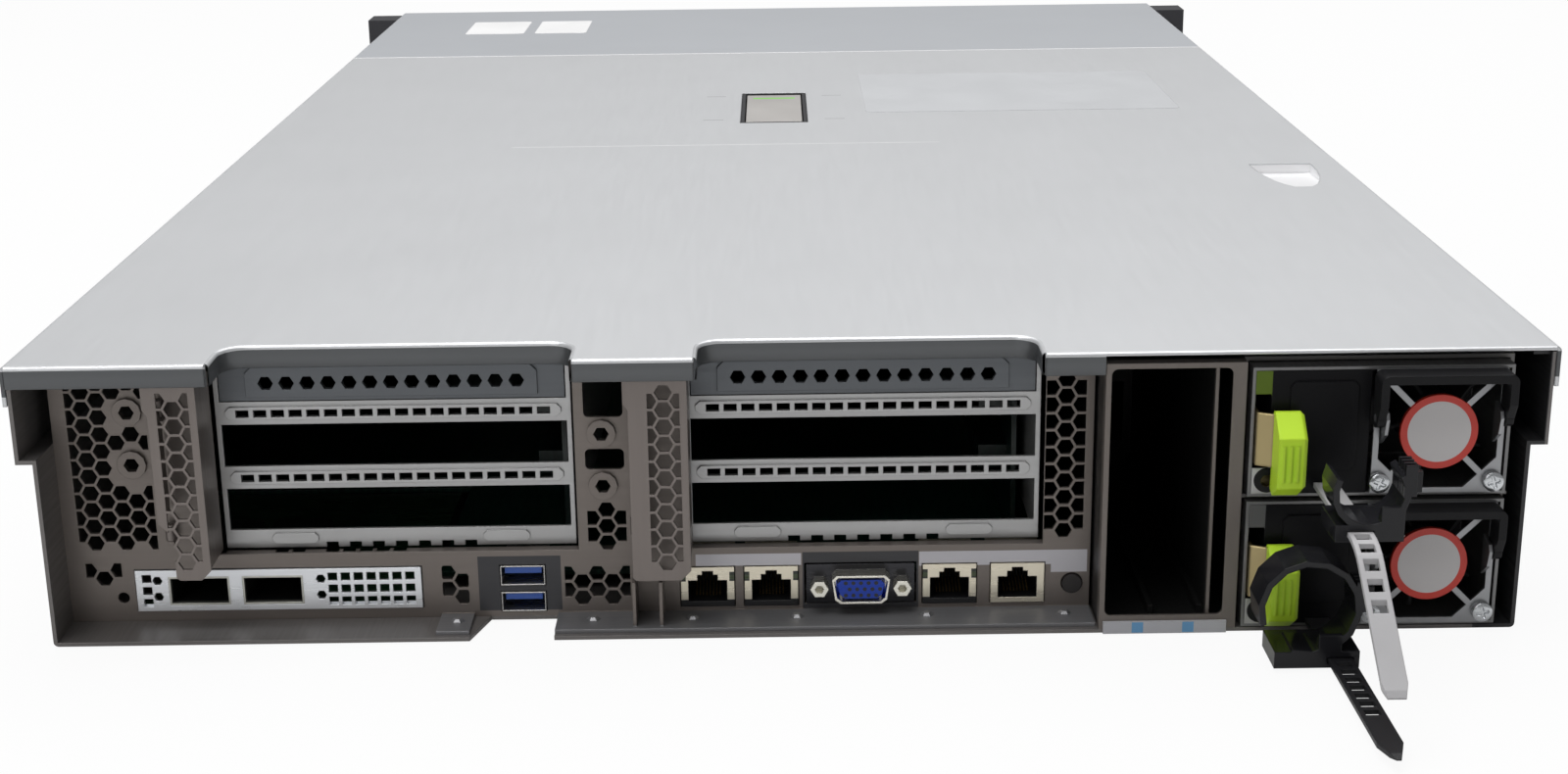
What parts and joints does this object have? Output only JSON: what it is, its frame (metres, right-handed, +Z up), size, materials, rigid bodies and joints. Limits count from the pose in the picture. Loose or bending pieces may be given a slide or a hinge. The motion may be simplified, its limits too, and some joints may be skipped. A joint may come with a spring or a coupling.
{
  "type": "rack server",
  "caption": "Flat rack server with a lift-off steel cover, vented rear panel with card slots and ports, stacked plug-in power supplies, fans, drives and rack ears.",
  "frame": {"origin": "centre of the chassis underside, half way along the length of the chassis", "axes": "+Z up, +Y towards the drives at the front, +X to the right for a viewer who faces the rear"},
  "size_m": [0.4826, 0.829, 0.0871],
  "materials": {
    "chassis_steel": "satin",
    "panel_steel": "satin",
    "front_cover_steel": "satin",
    "cover_steel": "satin",
    "lid_latch_black": "satin",
    "lid_lever_black": "satin",
    "cage_steel": "satin",
    "blank_steel": "satin",
    "retainer_steel": "satin",
    "bracket_steel": "polished",
    "module_steel": "satin",
    "usb_shell": "satin",
    "jack_shield": "satin",
    "video_shell": "satin",
    "button_dark": "gloss",
    "rivet_steel": "polished",
    "bay_steel": "satin",
    "board_green": "satin",
    "memory_green": "satin",
    "cooler_aluminium": "satin",
    "baffle_black": "satin",
    "tray_black": "satin",
    "fan_black": "satin",
    "rotor_black": "satin",
    "ear_black": "satin",
    "latch_black": "satin",
    "power_button_silver": "satin",
    "carrier_black": "satin",
    "carrier_lever_silver": "satin",
    "psu_steel": "satin",
    "psu_black": "satin",
    "guard_steel": "satin",
    "latch_green": "satin",
    "handle_black": "gloss",
    "strap_nylon": "satin",
    "clamp_black": "gloss"
  },
  "bodies": {
    "chassis": {"chassis_base": "chassis_steel", "rear_panel": "panel_steel", "front_cover": "front_cover_steel", "riser_cage_left": "cage_steel", "riser_cage_right": "cage_steel", "slot_blanks": "blank_steel", "riser_boards": "board_green", "network_card": "bracket_steel", "module_cages": "module_steel", "usb_ports": "usb_shell", "rj45_jacks": "jack_shield", "vga_port": "video_shell", "floor_rivets": "rivet_steel", "rear_drive_bay": "bay_steel", "psu_bay": "bay_steel", "system_board": "board_green", "cpu_heatsinks": "cooler_aluminium", "memory_modules": "memory_green", "air_baffle": "baffle_black", "fan_tray": "tray_black", "fan_frames": "fan_black", "storage_controller": "board_green", "drive_cage": "bay_steel", "drive_backplane": "board_green", "ear_left": "ear_black", "ear_right": "ear_black", "drive_carriers": "carrier_black"},
    "cover": {"top_cover": "cover_steel", "cover_latch_housing": "lid_latch_black"},
    "cover_lever": {"cover_latch_lever": "lid_lever_black"},
    "retainer_left": {"card_retainer_left": "retainer_steel"},
    "retainer_right": {"card_retainer_right": "retainer_steel"},
    "id_button_body": {"id_button": "button_dark"},
    "power_button_body": {"power_button": "power_button_silver"},
    "slam_left": {"slam_latch_left": "latch_black"},
    "slam_right": {"slam_latch_right": "latch_black"},
    "carrier": {"drive_carrier": "carrier_black"},
    "carrier_lever": {"drive_carrier_lever": "carrier_lever_silver"},
    "fan_1": {"fan_rotor_1": "rotor_black"},
    "fan_2": {"fan_rotor_2": "rotor_black"},
    "fan_3": {"fan_rotor_3": "rotor_black"},
    "fan_4": {"fan_rotor_4": "rotor_black"},
    "fan_5": {"fan_rotor_5": "rotor_black"},
    "fan_6": {"fan_rotor_6": "rotor_black"},
    "psu_upper": {"psu_upper_housing": "psu_steel", "psu_upper_inlet": "psu_black", "psu_upper_fan_guard": "guard_steel", "psu_upper_strap": "strap_nylon"},
    "psu_upper_fan": {"psu_upper_fan_rotor": "rotor_black"},
    "psu_upper_latch_tab": {"psu_upper_latch": "latch_green"},
    "psu_upper_grip": {"psu_upper_handle": "handle_black"},
    "psu_upper_cable_clamp": {"psu_upper_clamp": "clamp_black"},
    "psu_lower": {"psu_lower_housing": "psu_steel", "psu_lower_inlet": "psu_black", "psu_lower_fan_guard": "guard_steel", "psu_lower_strap": "strap_nylon"},
    "psu_lower_fan": {"psu_lower_fan_rotor": "rotor_black"},
    "psu_lower_latch_tab": {"psu_lower_latch": "latch_green"},
    "psu_lower_grip": {"psu_lower_handle": "handle_black"},
    "psu_lower_cable_clamp": {"psu_lower_clamp": "clamp_black"}
  },
  "joints": [
    {"name": "cover_lift", "type": "slide", "parent": "chassis", "child": "cover", "axis": [0, 0, 1], "range_m": [0, 0.12]},
    {"name": "cover_latch", "type": "hinge", "parent": "cover", "child": "cover_lever", "pos_m": [-0.0015, 0.0035, 0.0829], "axis": [1, 0, 0], "range_deg": [0, 85]},
    {"name": "retainer_left_hinge", "type": "hinge", "parent": "chassis", "child": "retainer_left", "pos_m": [-0.1833, -0.3549, 0.05], "axis": [0, 0, -1], "range_deg": [0, 80]},
    {"name": "retainer_right_hinge", "type": "hinge", "parent": "chassis", "child": "retainer_right", "pos_m": [-0.0441, -0.3549, 0.05], "axis": [0, 0, -1], "range_deg": [0, 80]},
    {"name": "id_button_press", "type": "slide", "parent": "chassis", "child": "id_button_body", "axis": [0, 1, 0], "range_m": [0, 0.0015], "stiffness_N_per_m": 400},
    {"name": "power_button_press", "type": "slide", "parent": "chassis", "child": "power_button_body", "axis": [0, -1, 0], "range_m": [0, 0.0012], "stiffness_N_per_m": 600},
    {"name": "slam_latch_left_hinge", "type": "hinge", "parent": "chassis", "child": "slam_left", "pos_m": [-0.2383, 0.3615, 0.034], "axis": [0, 0, 1], "range_deg": [0, 80]},
    {"name": "slam_latch_right_hinge", "type": "hinge", "parent": "chassis", "child": "slam_right", "pos_m": [0.2383, 0.3615, 0.034], "axis": [0, 0, -1], "range_deg": [0, 80]},
    {"name": "psu_upper_slide", "type": "slide", "parent": "chassis", "child": "psu_upper", "axis": [0, -1, 0], "range_m": [0, 0.2]},
    {"name": "psu_upper_latch_swing", "type": "hinge", "parent": "psu_upper", "child": "psu_upper_latch_tab", "pos_m": [0.1375, -0.3385, 0.0605], "axis": [0, 0, 1], "range_deg": [0, 4.5], "stiffness_Nm_per_rad": 0.6},
    {"name": "psu_upper_handle_fold", "type": "hinge", "parent": "psu_upper", "child": "psu_upper_grip", "pos_m": [0.1902, -0.3725, 0.0675], "axis": [1, 0, 0], "range_deg": [0, 90]},
    {"name": "psu_upper_clamp_slide", "type": "slide", "parent": "psu_upper", "child": "psu_upper_cable_clamp", "axis": [0, -1, 0], "range_m": [-0.008, 0.003]},
    {"name": "psu_upper_fan_spin", "type": "hinge", "parent": "psu_upper", "child": "psu_upper_fan", "pos_m": [0.1902, -0.3555, 0.0622], "axis": [0, 1, 0], "continuous": true},
    {"name": "psu_lower_slide", "type": "slide", "parent": "chassis", "child": "psu_lower", "axis": [0, -1, 0], "range_m": [0, 0.2], "deforming": ["psu_upper_strap"]},
    {"name": "psu_lower_latch_swing", "type": "hinge", "parent": "psu_lower", "child": "psu_lower_latch_tab", "pos_m": [0.1375, -0.3385, 0.0195], "axis": [0, 0, 1], "range_deg": [0, 4.5], "stiffness_Nm_per_rad": 0.6},
    {"name": "psu_lower_handle_fold", "type": "hinge", "parent": "psu_lower", "child": "psu_lower_grip", "pos_m": [0.1902, -0.3725, 0.0265], "axis": [1, 0, 0], "range_deg": [0, 90]},
    {"name": "psu_lower_clamp_slide", "type": "slide", "parent": "psu_lower", "child": "psu_lower_cable_clamp", "axis": [0, -1, 0], "range_m": [0, 0.05]},
    {"name": "psu_lower_fan_spin", "type": "hinge", "parent": "psu_lower", "child": "psu_lower_fan", "pos_m": [0.1902, -0.3555, 0.0212], "axis": [0, 1, 0], "continuous": true},
    {"name": "fan_1_spin", "type": "hinge", "parent": "chassis", "child": "fan_1", "pos_m": [-0.17, 0.1605, 0.034], "axis": [0, 1, 0], "continuous": true},
    {"name": "fan_2_spin", "type": "hinge", "parent": "chassis", "child": "fan_2", "pos_m": [-0.102, 0.1605, 0.034], "axis": [0, 1, 0], "continuous": true},
    {"name": "fan_3_spin", "type": "hinge", "parent": "chassis", "child": "fan_3", "pos_m": [-0.034, 0.1605, 0.034], "axis": [0, 1, 0], "continuous": true},
    {"name": "fan_4_spin", "type": "hinge", "parent": "chassis", "child": "fan_4", "pos_m": [0.034, 0.1605, 0.034], "axis": [0, 1, 0], "continuous": true},
    {"name": "fan_5_spin", "type": "hinge", "parent": "chassis", "child": "fan_5", "pos_m": [0.102, 0.1605, 0.034], "axis": [0, 1, 0], "continuous": true},
    {"name": "fan_6_spin", "type": "hinge", "parent": "chassis", "child": "fan_6", "pos_m": [0.17, 0.1605, 0.034], "axis": [0, 1, 0], "continuous": true},
    {"name": "carrier_slide", "type": "slide", "parent": "chassis", "child": "carrier", "axis": [0, 1, 0], "range_m": [0, 0.15]},
    {"name": "carrier_lever_swing", "type": "hinge", "parent": "carrier", "child": "carrier_lever", "pos_m": [0.205, 0.36, 0.07], "axis": [0, 0, -1], "range_deg": [0, 60]}
  ]
}
